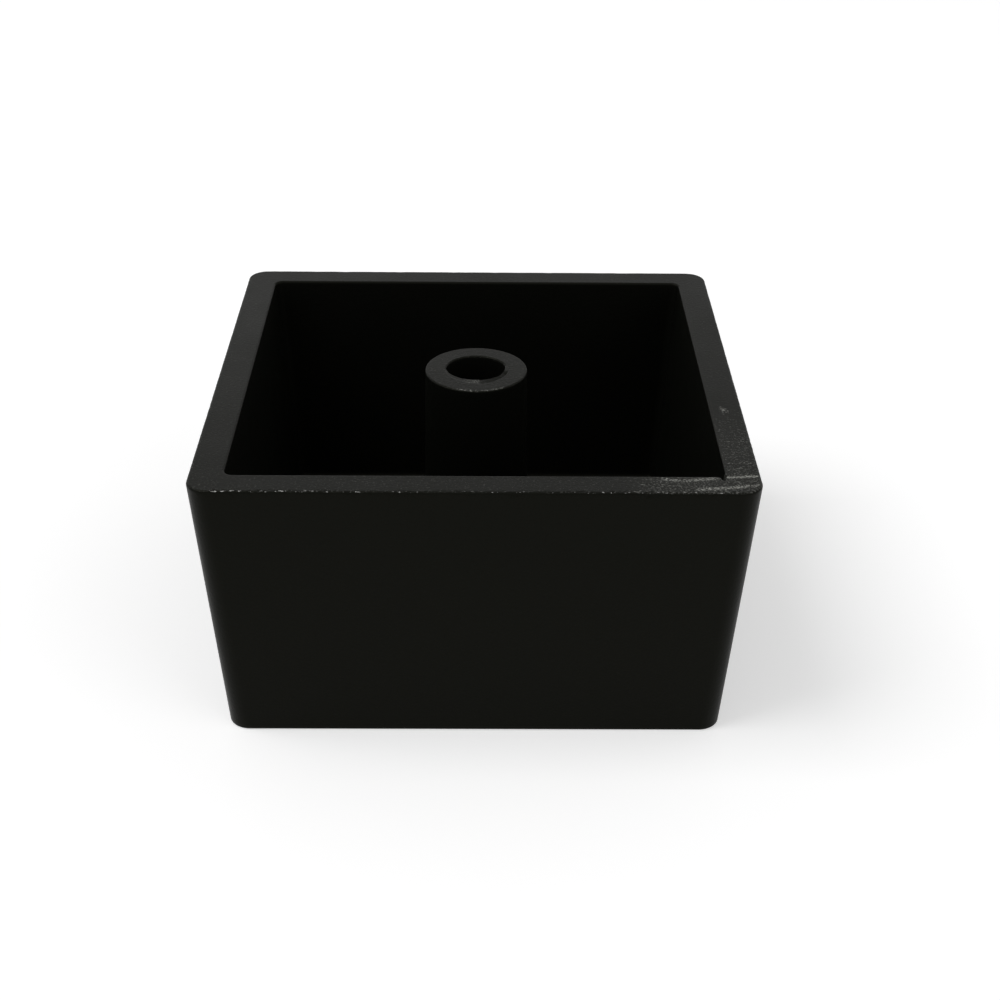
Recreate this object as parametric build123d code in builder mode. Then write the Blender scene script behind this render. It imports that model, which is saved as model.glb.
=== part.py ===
from build123d import *

import os
from math import atan, degrees, radians, tan

# A square furniture leg, moulded in one piece from black plastic. Sizes are in millimetres.
#
# The leg stands on its closed foot, and its open rim is at the top, where it meets the furniture.
# The origin is the middle of the foot, with Z up. Inside, a screw tube rises from the floor of the
# hollow almost to the rim. A countersunk screw goes up through the foot and the tube.

# Outer form, a square that widens from the foot to the rim
leg_height = 32.0
rim_width = 60.0
foot_width = 55.5
corner_radius = 2.4
foot_edge_radius = 0.3
rim_edge_radius = 0.25

# Hollow, open at the top
wall_thickness = 3.7
floor_thickness = 4.0
hollow_corner_radius = 1.0
hollow_floor_radius = 0.8

# Screw tube in the middle of the hollow, a little lower than the rim, so that the rim seats first
tube_diameter = 12.0
tube_draft = 0.75
tube_root_radius = 1.0
tube_edge_radius = 0.2
rim_to_tube = 0.1

# Passage for the screw, with a seat for its head in the foot
bore_diameter = 7.2
screw_head_diameter = 12.0
screw_head_clearance = 0.4
screw_head_angle = 90.0

# Sizes that follow from the ones above
wall_draft = degrees(atan((rim_width - foot_width) / 2 / leg_height))
opening_width = rim_width - 2 * wall_thickness
hollow_depth = leg_height - floor_thickness
tube_height = hollow_depth - rim_to_tube
tube_root_diameter = tube_diameter + 2 * tube_height * tan(radians(tube_draft))
countersink_diameter = screw_head_diameter + 2 * screw_head_clearance

rim_plane = Plane.XY.offset(leg_height)
floor_plane = Plane.XY.offset(floor_thickness)
under_foot = Plane(origin=(0, 0, 0), z_dir=(0, 0, -1))


def upright(shapes):
    """Those of the faces or edges that climb most of the leg's height."""
    return shapes.filter_by(lambda shape: shape.bounding_box().size.Z > hollow_depth / 2)


# The space inside the leg, which narrows with the walls so that they keep their thickness
with BuildPart() as hollow:
    with BuildSketch(rim_plane):
        Rectangle(opening_width, opening_width)
    extrude(amount=-hollow_depth)
    draft(upright(hollow.faces()), rim_plane, -wall_draft)
    fillet(upright(hollow.edges()), hollow_corner_radius)
    fillet(hollow.edges().group_by(Axis.Z)[0], hollow_floor_radius)

with BuildPart() as leg:
    # Block, drafted from the rim down to the smaller foot
    with BuildSketch(rim_plane):
        Rectangle(rim_width, rim_width)
    extrude(amount=-leg_height)
    draft(upright(leg.faces()), rim_plane, -wall_draft)
    fillet(upright(leg.edges()), corner_radius)
    fillet(leg.edges().group_by(Axis.Z)[0], foot_edge_radius)

    # Hollow, with both edges of the rim slightly broken
    add(hollow.part, mode=Mode.SUBTRACT)
    fillet(leg.edges().group_by(Axis.Z)[-1], rim_edge_radius)

    # Screw tube, a slim cone that blends into the floor
    with Locations(floor_plane):
        Cone(
            tube_root_diameter / 2,
            tube_diameter / 2,
            tube_height,
            align=(Align.CENTER, Align.CENTER, Align.MIN),
        )
    tube_circles = leg.edges(Select.LAST).filter_by(GeomType.CIRCLE).group_by(Axis.Z)
    fillet(tube_circles[0], tube_root_radius)
    fillet(tube_circles[-1], tube_edge_radius)

    # Passage for the screw, from under the foot
    with Locations(under_foot):
        CounterSinkHole(
            bore_diameter / 2,
            countersink_diameter / 2,
            counter_sink_angle=screw_head_angle,
        )

leg.part.label = "leg"
os.makedirs("parts", exist_ok=True)
export_step(leg.part, "parts/leg.step")
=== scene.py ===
"""A black plastic furniture leg on a pale floor, seen from above its front.

The leg is one moulding, so what shows of it is one closed skin. The skin is made of rings round
the upright axis, in order along the leg's section: screw seat, foot, outer wall, rim, hollow, screw
tube and bore. Marks of wear are then pressed into it. Lengths are in metres, apart from those that
are said to be in millimetres.
"""

import math

import bpy
from mathutils import Matrix, Vector, noise


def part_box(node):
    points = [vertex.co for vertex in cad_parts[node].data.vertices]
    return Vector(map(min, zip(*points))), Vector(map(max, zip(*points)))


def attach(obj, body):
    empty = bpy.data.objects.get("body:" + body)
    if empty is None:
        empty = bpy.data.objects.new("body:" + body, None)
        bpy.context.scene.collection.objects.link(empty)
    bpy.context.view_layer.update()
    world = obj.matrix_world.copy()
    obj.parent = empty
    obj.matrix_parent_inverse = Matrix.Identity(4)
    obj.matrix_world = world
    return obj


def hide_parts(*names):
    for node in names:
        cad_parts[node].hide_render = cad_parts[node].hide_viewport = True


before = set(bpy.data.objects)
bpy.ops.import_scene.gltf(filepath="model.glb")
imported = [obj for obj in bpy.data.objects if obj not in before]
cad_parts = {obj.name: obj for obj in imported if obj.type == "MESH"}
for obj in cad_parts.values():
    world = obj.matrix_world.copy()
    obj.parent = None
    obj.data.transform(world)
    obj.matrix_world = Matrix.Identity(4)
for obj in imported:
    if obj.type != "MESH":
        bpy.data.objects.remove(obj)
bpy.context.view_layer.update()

MM = 0.001

# The moulding, with +Z up and the camera on the -Y side. Its height comes from the frame, and its
# other sizes are those of the solid
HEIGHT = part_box("leg")[1].z
RIM_WIDTH = 60.0 * MM
FOOT_WIDTH = 55.5 * MM
CORNER_RADIUS = 2.4 * MM
FOOT_EDGE_RADIUS = 0.3 * MM
RIM_EDGE_RADIUS = 0.25 * MM
WALL = 3.7 * MM
FLOOR_THICKNESS = 4.0 * MM
HOLLOW_CORNER_RADIUS = 1.0 * MM
HOLLOW_FLOOR_RADIUS = 0.8 * MM
TUBE_RADIUS = 6.0 * MM
TUBE_DRAFT = math.radians(0.75)
TUBE_ROOT_RADIUS = 1.0 * MM
TUBE_EDGE_RADIUS = 0.2 * MM
TUBE_END = HEIGHT - 0.1 * MM
BORE_RADIUS = 3.6 * MM
SEAT_RADIUS = 6.4 * MM
SEAT_DEPTH = SEAT_RADIUS - BORE_RADIUS

SLOPE = (RIM_WIDTH - FOOT_WIDTH) / 2 / HEIGHT
DRAFT = math.atan(SLOPE)

# Flash left by the mould at the bore's mouth. Its inner edge is an oval, and it is widest in front
FLASH_OVAL = (3.5 * MM, 3.31 * MM)
FLASH_OVAL_MIDDLE = (-0.08 * MM, 0.46 * MM)
FLASH_RAGGED = 0.05 * MM
FLASH_LOBES = 7
FLASH_SEED = 0.5
FLASH_DROP = 0.03 * MM
FLASH_THICKNESS = 0.2 * MM

# The mouth's own edge is broken. Where the flash reaches in less than its fade, the mouth's rings
# lie on the bore's wall under that edge, each a little lower than the one before, so that none
# coincide
MOUTH_BREAK = 0.13 * MM
FLASH_FADE = 0.15 * MM
BARE_RING_DROP = 0.05 * MM

# In front on the right the flash hangs lower: it drops in a step from the tube's end, further from
# the bore in front than on the right, and rises from there to its own edge. Angles are polar, and
# each end of the step fades over an angle of its own
SEAM_RADII = (4.2 * MM, 3.85 * MM)
SEAM_BEND = (math.radians(-82), math.radians(-50))
SEAM_STEP = 0.1 * MM
SEAM_DEPTHS = (0.2 * MM, 0.3 * MM)
SEAM_EDGE_SHARE = 0.25
SEAM_ENDS = (math.radians(-89), math.radians(-5))
SEAM_END_FADES = (0.15, 0.25)

# Small nick in the rim at the hollow's front right corner, a notch that narrows towards its tip. Its
# edge slopes from a little outside its outline to a little inside
NICK_MOUTH = Vector((25.97, -26.25)) * MM
NICK_TIP = Vector((26.0, -27.05)) * MM
NICK_MOUTH_HALF = 0.36 * MM
NICK_TIP_HALF = 0.12 * MM
NICK_DEPTH = 0.9 * MM
NICK_EDGE = (-0.04 * MM, 0.05 * MM)

# From here to the burrs, a pair is where a zone of wear or of painted glints begins and where it is
# full, unless its comment says otherwise. The tube's pairs for its front are shares of facing the
# front

# Chips on the rim's outer edge, which come from a coarse and a fine noise. They are full within the
# first distance from the edge and gone past the second. Their depths and widths are in millimetres:
# everywhere, what the front adds and what the rubbed corner adds to that
CHIPPED_FROM_EDGE = (0.15 * MM, 0.5 * MM)
COARSE_CHIP = 0.45 * MM
FINE_CHIP = 0.2 * MM
CHIPPED_FRONT = (-28 * MM, -29.5 * MM)
RUBBED_FRONT = (13 * MM, 16 * MM)
CHIP_DEPTHS = (0.04, 0.1, 0.08)
CHIP_WIDTHS = (0.03, 0.09, 0.06)

# Scuffs on the rim, strongest at its front right corner. They are drawn out along X
TOP_DEPTH = 0.4 * MM
NEAR_TOP = (0.12 * MM, 0.05 * MM)
FRONT_RIM = (-24 * MM, -26 * MM)
SCUFFED_FRONT = (13.5 * MM, 20 * MM)
RIGHT_RIM = (25 * MM, 26.5 * MM)
SCUFFED_RIGHT = (-5 * MM, -20 * MM)
RIM_SCUFFS = 0.07
FRONT_RIM_SCUFFS = 0.07
FRONT_CORNER_SCUFFS = 0.46
RIGHT_CORNER_SCUFFS = 0.32
SCUFF_STRETCH = 0.45
SCUFF_SIZE = 0.3 * MM
SCUFF_DEPTH = 0.05 * MM

# Scuffs on the tube's end, faint all over. A pale line along its front edge and a pale patch on the
# flash are painted glints, painted highlights in the scuffs' pale colour
TUBE_SCUFFS = 0.12
TUBE_EDGE_GLINT = 0.72
FLASH_GLINT = 0.5
TUBE_FRONT_LEAN = 0.1
TUBE_FRONT = (0.8, 0.96)
TUBE_GLINT_INSIDE = (5.56 * MM, 5.7 * MM)
TUBE_GLINT_OUTSIDE = (6.0 * MM, 5.9 * MM)
FLASH_GLINT_RADII = (4.1 * MM, 3.7 * MM)
FLASH_GLINT_LEFT = (-2.2 * MM, -1.4 * MM)
FLASH_GLINT_RIGHT = (0.9 * MM, 0.1 * MM)

# Roughness of the tube's end, which grows towards its front
TUBE_END_DEPTH = 0.5 * MM
TUBE_END_MARGIN = 0.1 * MM
TUBE_ROUGHNESS = 0.006 * MM
TUBE_FRONT_ROUGHNESS = 0.012 * MM
ROUGH_FRONT = (0.2, 0.9)
ROUGH_SIZE = 0.3 * MM

# Streaks where the rim is rubbed pale, in millimetres on the rim: both ends, half width, strength.
# Each is full within the first share of its half width and gone past the second. The last is no
# streak but a painted glint, a painted highlight on the rim's front edge
STREAK_AND_GLINT_FADE = (0.35, 1.3)
STREAKS_AND_GLINT = (
    ((19.7, -26.9), (21.8, -27.3), 0.42, 0.9),
    ((21.8, -27.3), (25.2, -26.7), 0.5, 0.92),
    ((23.2, -29.1), (25.6, -28.9), 0.6, 0.92),
    ((25.6, -28.9), (28.1, -28.4), 0.46, 0.94),
    ((27.2, -28.5), (29.5, -28.2), 0.17, 1.15),
    ((26.5, -26.5), (29.5, -26.2), 0.26, 1.2),
    ((26.8, -23.4), (29.4, -23.3), 0.13, 0.75),
    ((26.6, -24.9), (28.2, -24.4), 0.15, 0.7),
    ((27.3, -18.4), (29.4, -18.3), 0.12, 0.6),
    ((27.2, -10.2), (28.2, -10.9), 0.2, 0.85),
    ((27.6, -9.6), (27.7, -11.6), 0.12, 0.45),
    ((17.3, -28.0), (17.5, -28.0), 0.2, 0.8),
    ((-27.7, -6.3), (-27.5, -6.3), 0.14, 0.6),
    # A painted glint on the rim's front edge, a painted highlight
    ((16.6, -29.6), (17.0, -29.6), 0.2, 0.8),
)

# Pale burrs on the rim's outer edge, in a narrow band: partly whitened plastic, partly painted
# glints, painted highlights. In front they are stronger towards both ends
BURR_GLINT_BAND = (0.34 * MM, 0.24 * MM)
BURR_GLINT_DEPTH = (0.09 * MM, 0.04 * MM)
BURR_GLINT_FRONT = -29 * MM
BURR_GLINT_LEFT = (-18.5 * MM, -19.5 * MM)
BURR_GLINT_LEFT_END = (-28.6 * MM, -27.6 * MM)
BURR_GLINT_BESIDE_LEFT = (-13 * MM, -14.5 * MM)
BURR_GLINT_RIGHT = (11 * MM, 14 * MM)
OTHER_SIDES_BURR_GLINTS = 0.3
FRONT_BURR_GLINTS = 0.55
BESIDE_LEFT_BURR_GLINTS = 0.8
RIGHT_BURR_GLINTS = 0.65

# Brighter burrs there, painted glints on the pale burrs, in millimetres: place along the front, half
# width, strength. Each is full within a share of its half width
BRIGHT_BURR_GLINT_CORE = 0.4
BRIGHT_BURR_GLINTS = (
    (-20.2, 0.3, 1.8),
    (-12.1, 0.25, 1.1),
    (-7.8, 0.18, 1.4),
    (2.1, 0.28, 1.3),
    (4.8, 0.18, 1.1),
    (9.4, 0.15, 1.1),
    (11.6, 0.22, 1.4),
    (13.7, 1.0, 0.95),
)

# Points along each side of a ring, front, right, back and left, in sections: start and count.
# They are dense at both ends of the worn corner. Then the points round the corner after each side
SIDE_SECTIONS = (
    ((0.0, 60), (0.13, 110), (0.74, 130)),
    ((0.0, 85), (0.2, 50)),
    ((0.0, 70),),
    ((0.0, 70),),
)
CORNER_STEPS = (16, 10, 10, 12)

# Looks: the plastic's roughness, the relief and the pale haze of its scuffs and painted glints, the
# pale floor's size and glow, and the surroundings' strength where they light the leg and where they
# are seen
PLASTIC_ROUGHNESS = 0.3
PLASTIC_ROUGHNESS_RANGE = 0.14
SCUFF_RELIEF = 2.5
SCUFF_AND_GLINT_HAZE = 0.05
FLOOR_HALF_WIDTH = 3.0
FLOOR_GLOW = 0.42
LIGHT_ON_LEG = 0.55
LIGHT_SEEN = 1.0

# Lamps: name, place, size and power in watts
LAMPS = (
    ("key_light", (-0.9, -0.2, 1.5), 1.0, 12.0),
    ("fill_light", (1.2, -1.0, 1.0), 1.2, 3.4),
    ("back_light", (-0.6, 1.6, 0.62), 0.9, 0.45),
)

# Sockets of the mix node that carry colours
MIX_FIRST_COLOUR = 6
MIX_SECOND_COLOUR = 7
MIX_COLOUR_RESULT = 2

# Camera, fitted to the leg's outline in the photograph. Its sensor is in millimetres and its angles
# are in radians
IMAGE_SIZE = 1000
FOCAL_PIXELS = 1726.0
SENSOR = 36.0
CAMERA_PLACE = Vector((0.758, -184.583, 118.760)) * MM
CAMERA_PITCH = 0.5156
CAMERA_YAW = -0.0119
CAMERA_ROLL = 0.0100


def outer_half(height):
    """Half the leg's width at a height, before its edges are rounded."""
    return FOOT_WIDTH / 2 + SLOPE * height


def inner_half(height):
    """Half the hollow's width at a height."""
    return outer_half(height) - WALL


def tube_radius(height):
    """The screw tube's radius at a height, before its edges are rounded."""
    return TUBE_RADIUS + (TUBE_END - height) * math.tan(TUBE_DRAFT)


def side_shares(sections):
    """How far along its side each point lies, from 0 towards 1."""
    ends = [start for start, _ in sections[1:]] + [1.0]
    shares = []
    for (start, count), end in zip(sections, ends):
        shares += [start + (end - start) * step / count for step in range(count)]
    return shares


def places_round():
    """Each point of a ring: its side, its share of that side and its turn round the next corner."""
    places = []
    for side, (sections, corner_steps) in enumerate(zip(SIDE_SECTIONS, CORNER_STEPS)):
        places += [(side, share, 0.0) for share in side_shares(sections)]
        places += [(side, 1.0, math.pi / 2 * step / corner_steps) for step in range(corner_steps)]
    return places


PLACES = places_round()


def square_ring(half, radius, height):
    """A rounded square about the axis, from the front's left end, anticlockwise seen from above."""
    points = []
    reach = half - radius
    for side, share, turn in PLACES:
        x = reach * (2 * share - 1) + radius * math.sin(turn)
        y = -reach - radius * math.cos(turn)
        for _ in range(side):
            x, y = -y, x
        points.append(Vector((x, y, height)))
    return points


POLAR_ANGLES = [math.atan2(point.y, point.x) for point in square_ring(1.0, 0.1, 0.0)]


def uneven_ring(radii, height):
    """A ring about the axis with a radius for each of the polar angles."""
    points = []
    for radius, angle in zip(radii, POLAR_ANGLES):
        points.append(Vector((radius * math.cos(angle), radius * math.sin(angle), height)))
    return points


def round_ring(radius, height):
    """A circle about the axis."""
    return uneven_ring([radius] * len(POLAR_ANGLES), height)


def ring_between(first, second, share):
    """The ring at a share of the way from the first to the second."""
    return [a.lerp(b, share) for a, b in zip(first, second)]


def steps_between(start, end, count):
    """Evenly spaced values from start to end, both included."""
    return [start + (end - start) * step / (count - 1) for step in range(count)]


def seat_and_foot():
    """From the bore's lower end over the seat for the screw's head to the edge of the foot."""
    rings = []
    for depth in steps_between(0, SEAT_DEPTH, 5):
        rings.append(round_ring(BORE_RADIUS + depth, SEAT_DEPTH - depth))
    rings.append(round_ring(SEAT_RADIUS + 0.1 * MM, 0))
    edge = square_ring(outer_half(0) - FOOT_EDGE_RADIUS, CORNER_RADIUS - FOOT_EDGE_RADIUS, 0)
    inner = round_ring(SEAT_RADIUS + 1.5 * MM, 0)
    rings += [ring_between(inner, edge, share) for share in (0, 0.25, 0.6, 0.9, 0.99)]
    return rings


def outer_wall():
    """Round the foot's edge, up the drafted wall and round the rim's outer edge."""
    rings = []
    centre = outer_half(FOOT_EDGE_RADIUS) - FOOT_EDGE_RADIUS / math.cos(DRAFT)
    for angle in steps_between(-math.pi / 2, -DRAFT, 6):
        half = centre + FOOT_EDGE_RADIUS * math.cos(angle)
        height = FOOT_EDGE_RADIUS * (1 + math.sin(angle))
        rings.append(square_ring(half, CORNER_RADIUS - (outer_half(height) - half), height))
    low = FOOT_EDGE_RADIUS
    high = HEIGHT - RIM_EDGE_RADIUS
    for share in [0.01] + steps_between(0.1, 0.9, 6) + [0.97, 0.985, 0.995]:
        height = low + (high - low) * share
        rings.append(square_ring(outer_half(height), CORNER_RADIUS, height))
    centre = outer_half(high) - RIM_EDGE_RADIUS / math.cos(DRAFT)
    for angle in steps_between(-DRAFT, math.pi / 2, 9):
        half = centre + RIM_EDGE_RADIUS * math.cos(angle)
        height = high + RIM_EDGE_RADIUS * math.sin(angle)
        rings.append(square_ring(half, CORNER_RADIUS - (outer_half(height) - half), height))
    return rings


def rim_and_hollow():
    """Across the flat rim, round its inner edge and down the hollow's wall to the floor."""
    high = HEIGHT - RIM_EDGE_RADIUS
    outer_centre = outer_half(high) - RIM_EDGE_RADIUS / math.cos(DRAFT)
    inner_centre = inner_half(high) + RIM_EDGE_RADIUS / math.cos(DRAFT)
    outer_corner = CORNER_RADIUS - (outer_half(HEIGHT) - outer_centre)
    inner_corner = HOLLOW_CORNER_RADIUS + (inner_centre - inner_half(HEIGHT))
    outer_edge = square_ring(outer_centre, outer_corner, HEIGHT)
    inner_edge = square_ring(inner_centre, inner_corner, HEIGHT)
    rings = [ring_between(outer_edge, inner_edge, share) for share in steps_between(0.02, 0.98, 30)]
    for angle in steps_between(math.pi / 2, math.pi - DRAFT, 6):
        half = inner_centre + RIM_EDGE_RADIUS * math.cos(angle)
        height = high + RIM_EDGE_RADIUS * math.sin(angle)
        rings.append(square_ring(half, HOLLOW_CORNER_RADIUS + (half - inner_half(height)), height))
    low = FLOOR_THICKNESS + HOLLOW_FLOOR_RADIUS
    for share in [0.005, 0.015, 0.03, 0.045, 0.06] + steps_between(0.1, 0.9, 5) + [0.99]:
        height = high + (low - high) * share
        rings.append(square_ring(inner_half(height), HOLLOW_CORNER_RADIUS, height))
    centre = inner_half(low) - HOLLOW_FLOOR_RADIUS / math.cos(DRAFT)
    for angle in steps_between(-DRAFT, -math.pi / 2, 5):
        half = centre + HOLLOW_FLOOR_RADIUS * math.cos(angle)
        height = low + HOLLOW_FLOOR_RADIUS * math.sin(angle)
        rings.append(square_ring(half, HOLLOW_CORNER_RADIUS - (inner_half(height) - half), height))
    return rings


def floor_and_tube():
    """Across the hollow's floor, where squares turn to circles, and up the screw tube's outside."""
    low = FLOOR_THICKNESS + TUBE_ROOT_RADIUS
    centre = tube_radius(low) + TUBE_ROOT_RADIUS / math.cos(TUBE_DRAFT)
    half = inner_half(FLOOR_THICKNESS + HOLLOW_FLOOR_RADIUS)
    half -= HOLLOW_FLOOR_RADIUS / math.cos(DRAFT)
    corner = HOLLOW_CORNER_RADIUS - (inner_half(FLOOR_THICKNESS) - half)
    outer = square_ring(half, corner, FLOOR_THICKNESS)
    inner = round_ring(centre, FLOOR_THICKNESS)
    rings = [ring_between(outer, inner, share) for share in (0.02, 0.15, 0.4, 0.65, 0.9, 0.99)]
    for angle in steps_between(-math.pi / 2, -math.pi + TUBE_DRAFT, 5):
        radius = centre + TUBE_ROOT_RADIUS * math.cos(angle)
        rings.append(round_ring(radius, low + TUBE_ROOT_RADIUS * math.sin(angle)))
    high = TUBE_END - TUBE_EDGE_RADIUS
    for share in (0.02, 0.3, 0.6, 0.9, 0.98):
        height = low + (high - low) * share
        rings.append(round_ring(tube_radius(height), height))
    edge = tube_radius(high) - TUBE_EDGE_RADIUS / math.cos(TUBE_DRAFT)
    for angle in steps_between(TUBE_DRAFT, math.pi / 2, 7):
        radius = edge + TUBE_EDGE_RADIUS * math.cos(angle)
        rings.append(round_ring(radius, high + TUBE_EDGE_RADIUS * math.sin(angle)))
    return rings


def tube_end():
    """Across the flat end of the screw tube to the bore's mouth, with more rings near the mouth."""
    edge = tube_radius(TUBE_END - TUBE_EDGE_RADIUS) - TUBE_EDGE_RADIUS / math.cos(TUBE_DRAFT)
    mouth = BORE_RADIUS + MOUTH_BREAK
    radii = steps_between(edge - 0.06 * MM, mouth + 0.9 * MM, 9)
    radii += steps_between(mouth + 0.8 * MM, mouth, 15)
    return [round_ring(radius, TUBE_END) for radius in radii]


def flash_reach(angle):
    """How far the flash stands in from the bore's wall, in the direction of a polar angle."""
    wide, deep = FLASH_OVAL
    across = Vector((math.cos(angle) / wide, math.sin(angle) / deep))
    middle = Vector((FLASH_OVAL_MIDDLE[0] / wide, FLASH_OVAL_MIDDLE[1] / deep))
    square = across.length_squared
    half = across.dot(middle)
    oval = (half + math.sqrt(half * half + square * (1 - middle.length_squared))) / square
    lobes = Vector((FLASH_LOBES * math.cos(angle), FLASH_LOBES * math.sin(angle), FLASH_SEED))
    oval += FLASH_RAGGED * noise.noise(lobes)
    return max(0.0, BORE_RADIUS - oval)


def mouth_ring(share, drop=1.0):
    """A ring of the bore's mouth at a share of the flash's reach, and some flash drops deep.

    Where there is no flash the ring follows the bore's wall, below the mouth's broken edge.
    """
    points = []
    for angle in POLAR_ANGLES:
        reach = flash_reach(angle)
        bare = ramp(reach, FLASH_FADE, 0.0)
        fall = drop * FLASH_DROP + bare * (MOUTH_BREAK - FLASH_DROP + BARE_RING_DROP * share)
        radius = BORE_RADIUS - share * reach
        height = TUBE_END - fall
        points.append(Vector((radius * math.cos(angle), radius * math.sin(angle), height)))
    return points


def bore():
    """Over the flash at the bore's mouth and down the bore to the seat."""
    edge = round_ring(BORE_RADIUS + MOUTH_BREAK, TUBE_END)
    rings = [ring_between(edge, mouth_ring(0.0), share) for share in (0.35, 0.7, 0.95)]
    rings += [mouth_ring(share) for share in (0.12, 0.3, 0.5, 0.7, 0.88, 0.97)]
    rings.append(mouth_ring(1.0, 1.6))
    under = TUBE_END - FLASH_DROP - FLASH_THICKNESS
    for share, height in ((0.96, under), (0.1, under - FLASH_THICKNESS)):
        radii = [BORE_RADIUS - share * flash_reach(angle) for angle in POLAR_ANGLES]
        rings.append(uneven_ring(radii, height))
    rings.append(round_ring(BORE_RADIUS, under - 3 * FLASH_THICKNESS))
    for share in (0.1, 0.35, 0.65, 0.95):
        rings.append(round_ring(BORE_RADIUS, under + (SEAT_DEPTH - under) * share))
    return rings


def ramp(value, start, end):
    """0 before start, 1 past end, and a smooth rise between them. Start may be the larger."""
    share = min(1.0, max(0.0, (value - start) / (end - start)))
    return share * share * (3 - 2 * share)


def grain(point, size, seed):
    """Smooth noise from -1 to 1 with features of a size. Each seed gives another pattern."""
    return noise.noise(point / size + Vector((seed, seed * 1.7, seed * 2.3)))


def share_and_distance(point, start, end):
    """How far along a line the point lies, from 0 to 1, and its distance from the line."""
    line = end - start
    share = min(1.0, max(0.0, (point - start).dot(line) / line.length_squared))
    return share, (point - start - share * line).length


def edge_closeness(point):
    """1 at the rim's outer edge, falling to 0 a little way from it."""
    aside = outer_half(HEIGHT) - max(abs(point.x), abs(point.y))
    return 1 - ramp(math.hypot(aside, HEIGHT - point.z), *CHIPPED_FROM_EDGE)


def streak_and_glint_strength(point):
    """How strong the strongest of the pale streaks and the painted glint among them is at a point.
    """
    flat = point.xy
    full, gone = STREAK_AND_GLINT_FADE
    strength = 0.0
    for start, end, half_width, most in STREAKS_AND_GLINT:
        _, distance = share_and_distance(flat, Vector(start) * MM, Vector(end) * MM)
        fade = ramp(distance, full * half_width * MM, gone * half_width * MM)
        strength = max(strength, most * (1 - fade))
    return strength


def tube_scuff_and_glint_strength(point, radius):
    """How badly the tube's end is scuffed at a point, which lies at a radius from the axis, with the
    painted glints (painted highlights) along its front edge and on the flash.
    """
    facing_front = (TUBE_FRONT_LEAN * point.x - point.y) / max(radius, MM)
    near_front = ramp(facing_front, *TUBE_FRONT)
    # A pale line along the front edge and a patch on the flash: painted glints, painted highlights
    line = near_front * ramp(radius, *TUBE_GLINT_INSIDE) * ramp(radius, *TUBE_GLINT_OUTSIDE)
    flash_glint_patch = ramp(radius, *FLASH_GLINT_RADII)
    flash_glint_patch = flash_glint_patch * ramp(point.x, *FLASH_GLINT_LEFT) * ramp(point.x, *FLASH_GLINT_RIGHT)
    return max(TUBE_SCUFFS, TUBE_EDGE_GLINT * line, FLASH_GLINT * flash_glint_patch * near_front)


def scuff_and_glint_strength(point):
    """How badly the top is scuffed: most at the rim's front right corner and beside it. On the
    tube's end this also holds painted glints, painted highlights.
    """
    radius = math.hypot(point.x, point.y)
    if point.z < HEIGHT - TOP_DEPTH:
        return 0.0
    if radius < TUBE_RADIUS:
        return tube_scuff_and_glint_strength(point, radius)
    front = ramp(point.y, *FRONT_RIM)
    along_front = front * ramp(point.x, *SCUFFED_FRONT)
    along_right = ramp(point.x, *RIGHT_RIM) * ramp(point.y, *SCUFFED_RIGHT)
    return ramp(HEIGHT - point.z, *NEAR_TOP) * max(
        RIM_SCUFFS + FRONT_RIM_SCUFFS * front,
        FRONT_CORNER_SCUFFS * along_front,
        RIGHT_CORNER_SCUFFS * along_right,
        streak_and_glint_strength(point),
    )


def burr_and_glint_strength(point):
    """How strong the pale burrs and painted glints along the rim's outer edge are: most in front, on
    the left.
    """
    aside = outer_half(HEIGHT) - max(abs(point.x), abs(point.y))
    band = ramp(aside, *BURR_GLINT_BAND) * ramp(HEIGHT - point.z, *BURR_GLINT_DEPTH)
    if point.y > BURR_GLINT_FRONT:
        return OTHER_SIDES_BURR_GLINTS * band
    left = ramp(point.x, *BURR_GLINT_LEFT) * ramp(point.x, *BURR_GLINT_LEFT_END)
    beside = ramp(point.x, *BURR_GLINT_BESIDE_LEFT)
    right = ramp(point.x, *BURR_GLINT_RIGHT)
    bright_glint = 0.0
    # The brighter burrs are painted glints, painted highlights on the edge
    for place, half_width, most in BRIGHT_BURR_GLINTS:
        distance = abs(point.x - place * MM)
        core = BRIGHT_BURR_GLINT_CORE * half_width * MM
        bright_glint = max(bright_glint, most * ramp(distance, half_width * MM, core))
    return band * max(FRONT_BURR_GLINTS, left, BESIDE_LEFT_BURR_GLINTS * beside, RIGHT_BURR_GLINTS * right, bright_glint)


def seam_depth(radius, angle):
    """How far the flash and the tube's end beside it lie below their own level."""
    bend = ramp(angle, *SEAM_BEND)
    outer = SEAM_RADII[0] + (SEAM_RADII[1] - SEAM_RADII[0]) * bend
    depth = SEAM_DEPTHS[0] + (SEAM_DEPTHS[1] - SEAM_DEPTHS[0]) * bend
    edge = BORE_RADIUS - flash_reach(angle)
    rise = min(1.0, max(0.0, (outer - SEAM_STEP - radius) / (outer - SEAM_STEP - edge)))
    across = ramp(outer - radius, 0.0, SEAM_STEP) * (1 + (SEAM_EDGE_SHARE - 1) * rise)
    start, end = SEAM_ENDS
    start_fade, end_fade = SEAM_END_FADES
    past_start = ramp(angle, start, start + start_fade)
    before_end = ramp(angle, end, end - end_fade)
    return depth * across * past_start * before_end


def nick_share(point):
    """1 inside the nick's outline on the rim and 0 outside it."""
    share, distance = share_and_distance(point.xy, NICK_MOUTH, NICK_TIP)
    half_width = NICK_MOUTH_HALF + (NICK_TIP_HALF - NICK_MOUTH_HALF) * share
    return ramp(half_width - distance, *NICK_EDGE)


def chip_amount(amounts, front, rubbed):
    """The chips' depth or width in millimetres, from the amounts that the three zones give."""
    everywhere, in_front, at_corner = amounts
    return everywhere + in_front * front + at_corner * rubbed


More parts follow.
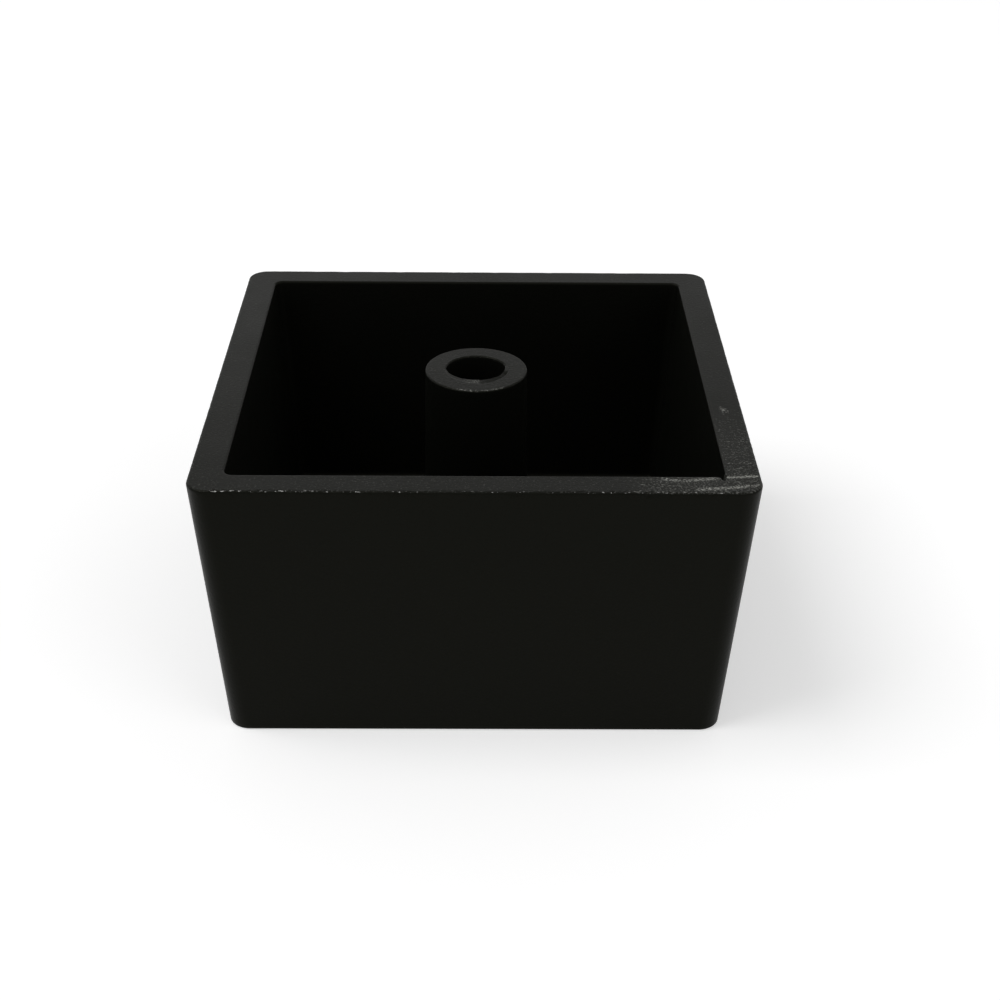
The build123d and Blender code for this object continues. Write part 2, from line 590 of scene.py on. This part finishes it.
def worn(point):
    """Where a point of the new moulding lies on the worn one."""
    moved = point.copy()
    closeness = edge_closeness(point)
    if closeness > 0:
        coarse = grain(point, COARSE_CHIP, seed=3.0)
        chip = max(0.0, coarse + 0.5 * grain(point, FINE_CHIP, seed=5.0))
        front = ramp(point.y, *CHIPPED_FRONT)
        rubbed = front * ramp(point.x, *RUBBED_FRONT)
        moved.z -= closeness * chip * chip_amount(CHIP_DEPTHS, front, rubbed) * MM
        inward = Vector((-point.x, -point.y, 0)).normalized()
        moved += inward * closeness * chip * chip_amount(CHIP_WIDTHS, front, rubbed) * MM
    scuff = scuff_and_glint_strength(point)
    if scuff > 0:
        stretched = Vector((point.x * SCUFF_STRETCH, point.y, point.z))
        pit = 0.5 + 0.5 * grain(stretched, SCUFF_SIZE, seed=9.0)
        moved.z -= scuff * SCUFF_DEPTH * pit
    nick = nick_share(point)
    if nick > 0:
        moved.z -= nick * NICK_DEPTH * ramp(point.z, HEIGHT - 3 * NICK_DEPTH, HEIGHT)
    radius = math.hypot(point.x, point.y)
    if point.z > TUBE_END - TUBE_END_DEPTH and radius < TUBE_RADIUS + TUBE_END_MARGIN:
        angle = math.atan2(point.y, point.x)
        moved.z -= seam_depth(radius, angle)
        near_front = ramp(-math.sin(angle), *ROUGH_FRONT)
        rough = TUBE_ROUGHNESS + TUBE_FRONT_ROUGHNESS * near_front
        moved.z -= rough * (1 + grain(point, ROUGH_SIZE, seed=12.0))
    return moved


def add_weights(mesh, name, values):
    """Keeps a value for each point under a name, for the material to read."""
    attribute = mesh.attributes.new(name, "FLOAT", "POINT")
    attribute.data.foreach_set("value", values)


def leg_skin():
    """The closed mesh of the worn leg, with the strength of burrs and scuffs at each point, both of
    which also carry painted glints.
    """
    rings = seat_and_foot() + outer_wall() + rim_and_hollow()
    rings += floor_and_tube() + tube_end() + bore()
    count = len(PLACES)
    fresh = [point for ring in rings for point in ring]
    faces = []
    for ring in range(len(rings)):
        next_ring = (ring + 1) % len(rings)
        for place in range(count):
            next_place = (place + 1) % count
            faces.append((
                ring * count + place,
                ring * count + next_place,
                next_ring * count + next_place,
                next_ring * count + place,
            ))
    mesh = bpy.data.meshes.new("leg_skin")
    mesh.from_pydata([worn(point) for point in fresh], [], faces)
    mesh.shade_smooth()
    add_weights(mesh, "burrs_and_glints", [burr_and_glint_strength(point) for point in fresh])
    add_weights(mesh, "scuffs_and_glints", [scuff_and_glint_strength(point) for point in fresh])
    skin = bpy.data.objects.new("leg_skin", mesh)
    bpy.context.scene.collection.objects.link(skin)
    return skin


def add_node(tree, kind, inputs=None, **settings):
    """A new shader node. An input is a value, or another node's output to link to it."""
    made = tree.nodes.new(kind)
    for name, value in settings.items():
        setattr(made, name, value)
    for socket, value in (inputs or {}).items():
        if isinstance(value, bpy.types.NodeSocket):
            tree.links.new(value, made.inputs[socket])
        else:
            made.inputs[socket].default_value = value
    return made


def calculate(tree, operation, first, second, clamp=False):
    """The output of a math node."""
    made = add_node(
        tree, "ShaderNodeMath", {0: first, 1: second}, operation=operation, use_clamp=clamp
    )
    return made.outputs[0]


def blend_colours(tree, share, first, second):
    """The output of a mix of two colours, which is the second where the share is 1."""
    made = add_node(
        tree,
        "ShaderNodeMix",
        {"Factor": share, MIX_FIRST_COLOUR: first, MIX_SECOND_COLOUR: second},
        data_type="RGBA",
    )
    return made.outputs[MIX_COLOUR_RESULT]


def new_material(name):
    """A material without nodes, and its node tree."""
    material = bpy.data.materials.new(name)
    material.use_nodes = True
    material.node_tree.nodes.clear()
    return material, material.node_tree


def millimetres(tree, scale=(1.0, 1.0, 1.0)):
    """Coordinates fixed to the leg, in millimetres, stretched by a scale."""
    source = add_node(tree, "ShaderNodeTexCoord").outputs["Object"]
    return add_node(
        tree, "ShaderNodeMapping", {"Vector": source, "Scale": [share / MM for share in scale]}
    ).outputs["Vector"]


def noise_value(tree, vector, scale, detail=2.0, roughness=0.5):
    """The output of a noise texture. Its scale is in features per millimetre."""
    made = add_node(
        tree,
        "ShaderNodeTexNoise",
        {"Vector": vector, "Scale": scale, "Detail": detail, "Roughness": roughness},
    )
    return made.outputs["Fac"]


def weight(tree, name):
    """The output that reads the values which add_weights kept under a name."""
    return add_node(tree, "ShaderNodeAttribute", attribute_name=name).outputs["Fac"]


def patches(tree, strength, pattern, none_above, most_above, softness):
    """Where the pattern passes a level that falls as the strength rises, times the strength."""
    fall = calculate(tree, "MULTIPLY", strength, none_above - most_above)
    level = calculate(tree, "SUBTRACT", none_above, fall)
    above = calculate(tree, "SUBTRACT", pattern, level)
    over = calculate(tree, "DIVIDE", above, softness, clamp=True)
    return calculate(tree, "MULTIPLY", over, strength)


def black_plastic():
    """Black plastic with a fine mould texture, paler where it is scuffed and on its burrs. Some of
    that pale colour paints glints, painted highlights.
    """
    material, tree = new_material("black_plastic")
    grained = noise_value(tree, millimetres(tree), scale=3.0, detail=3.0, roughness=0.65)
    cloudy = noise_value(tree, millimetres(tree), scale=0.12)

    # Pale scuffs, and painted glints (painted highlights) on the tube's end, in the rubbed colour
    scuffs_and_glints = weight(tree, "scuffs_and_glints")
    coordinates = millimetres(tree, (0.8, 1.0, 1.0))
    mottled = noise_value(tree, coordinates, scale=4.6, detail=4.0, roughness=0.75)
    scuff_and_glint_flecks = patches(tree, scuffs_and_glints, mottled, none_above=0.61, most_above=0.455, softness=0.09)
    haze = calculate(tree, "MULTIPLY", scuffs_and_glints, SCUFF_AND_GLINT_HAZE)
    scuffed_and_glinting = calculate(tree, "ADD", scuff_and_glint_flecks, haze, clamp=True)

    # Pale burrs on the rim's edge: partly whitened plastic, partly painted glints (painted
    # highlights)
    coordinates = millimetres(tree, (0.5, 1.0, 1.0))
    burr_glint_specks = noise_value(tree, coordinates, scale=4.6, roughness=0.7)
    burrs_and_glints = weight(tree, "burrs_and_glints")
    burred_and_glinting = patches(tree, burrs_and_glints, burr_glint_specks, none_above=0.68, most_above=0.575, softness=0.05)

    # rubbed also paints glints on the tube's end, and whitened paints the burrs' glints: painted
    # highlights
    clean = (0.0032, 0.0034, 0.0026, 1.0)
    rubbed = (0.37, 0.372, 0.34, 1.0)
    whitened_and_glint = (0.5, 0.5, 0.48, 1.0)
    colour = blend_colours(tree, burred_and_glinting, blend_colours(tree, scuffed_and_glinting, clean, rubbed), whitened_and_glint)

    variation = calculate(tree, "MULTIPLY", cloudy, PLASTIC_ROUGHNESS_RANGE)
    roughness = calculate(tree, "ADD", PLASTIC_ROUGHNESS, variation)
    relief = calculate(tree, "MULTIPLY", scuffed_and_glinting, SCUFF_RELIEF)
    height = calculate(tree, "ADD", grained, relief)
    bump = add_node(
        tree, "ShaderNodeBump", {"Strength": 0.9, "Distance": 0.03 * MM, "Height": height}
    ).outputs["Normal"]
    shader = add_node(
        tree,
        "ShaderNodeBsdfPrincipled",
        {
            "Base Color": colour,
            "Roughness": roughness,
            "Specular IOR Level": 0.057,
            "Specular Tint": (1.0, 1.0, 0.8, 1.0),
            "Normal": bump,
        },
    ).outputs[0]
    add_node(tree, "ShaderNodeOutputMaterial", {"Surface": shader})
    return material


def seen_directly(tree):
    """1 for camera, glossy and transmission rays, so that they all see the same white."""
    rays = add_node(tree, "ShaderNodeLightPath").outputs
    either = calculate(tree, "MAXIMUM", rays["Is Camera Ray"], rays["Is Glossy Ray"])
    return calculate(tree, "MAXIMUM", either, rays["Is Transmission Ray"])


def floor():
    """A pale floor that shows white and keeps the leg's shadow."""
    half = FLOOR_HALF_WIDTH
    mesh = bpy.data.meshes.new("floor")
    corners = [(-half, -half, 0), (half, -half, 0), (half, half, 0), (-half, half, 0)]
    mesh.from_pydata(corners, [], [(0, 1, 2, 3)])
    piece = bpy.data.objects.new("floor", mesh)
    bpy.context.scene.collection.objects.link(piece)
    material, tree = new_material("pale_floor")
    lit = add_node(tree, "ShaderNodeBsdfDiffuse", {"Color": (0.8, 0.8, 0.8, 1.0)}).outputs[0]
    lift = calculate(tree, "MULTIPLY", seen_directly(tree), FLOOR_GLOW)
    glow = add_node(tree, "ShaderNodeEmission", {"Strength": lift}).outputs[0]
    both = add_node(tree, "ShaderNodeAddShader", {0: lit, 1: glow}).outputs[0]
    add_node(tree, "ShaderNodeOutputMaterial", {"Surface": both})
    mesh.materials.append(material)


def surroundings():
    """White where it is seen, and a softer even light on the leg."""
    world = bpy.data.worlds.new("studio")
    world.use_nodes = True
    tree = world.node_tree
    tree.nodes.clear()
    strength = add_node(
        tree,
        "ShaderNodeMapRange",
        {"Value": seen_directly(tree), "To Min": LIGHT_ON_LEG, "To Max": LIGHT_SEEN},
    ).outputs["Result"]
    light = add_node(tree, "ShaderNodeBackground", {"Strength": strength}).outputs[0]
    add_node(tree, "ShaderNodeOutputWorld", {"Surface": light})
    bpy.context.scene.world = world


def softbox(name, place, size, watts):
    """A square lamp aimed at the leg."""
    lamp = bpy.data.lights.new(name, "AREA")
    lamp.size = size
    lamp.energy = watts
    holder = bpy.data.objects.new(name, lamp)
    holder.location = place
    aim = Vector((0, 0, HEIGHT / 2)) - Vector(place)
    holder.rotation_euler = aim.to_track_quat("-Z", "Y").to_euler()
    bpy.context.scene.collection.objects.link(holder)


def camera():
    """The photograph's camera. Without yaw, pitch or roll it would look along +Y."""
    forward = Vector((
        -math.sin(CAMERA_YAW) * math.cos(CAMERA_PITCH),
        math.cos(CAMERA_YAW) * math.cos(CAMERA_PITCH),
        -math.sin(CAMERA_PITCH),
    ))
    level = Vector((math.cos(CAMERA_YAW), math.sin(CAMERA_YAW), 0))
    turned = Matrix.Rotation(-CAMERA_ROLL, 3, forward)
    right = turned @ level
    up = right.cross(forward)
    data = bpy.data.cameras.new("camera")
    data.sensor_width = SENSOR
    data.lens = FOCAL_PIXELS * SENSOR / IMAGE_SIZE
    data.clip_start = 10 * MM
    holder = bpy.data.objects.new("camera", data)
    axes = Matrix((right, up, -forward)).transposed().to_4x4()
    holder.matrix_world = Matrix.Translation(CAMERA_PLACE) @ axes
    bpy.context.scene.collection.objects.link(holder)
    bpy.context.scene.camera = holder


leg = leg_skin()
leg.data.materials.append(black_plastic())
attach(leg, "root")
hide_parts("leg")

floor()
surroundings()
for name, place, size, watts in LAMPS:
    softbox(name, place, size, watts)
camera()
bpy.context.scene.view_settings.view_transform = "Standard"
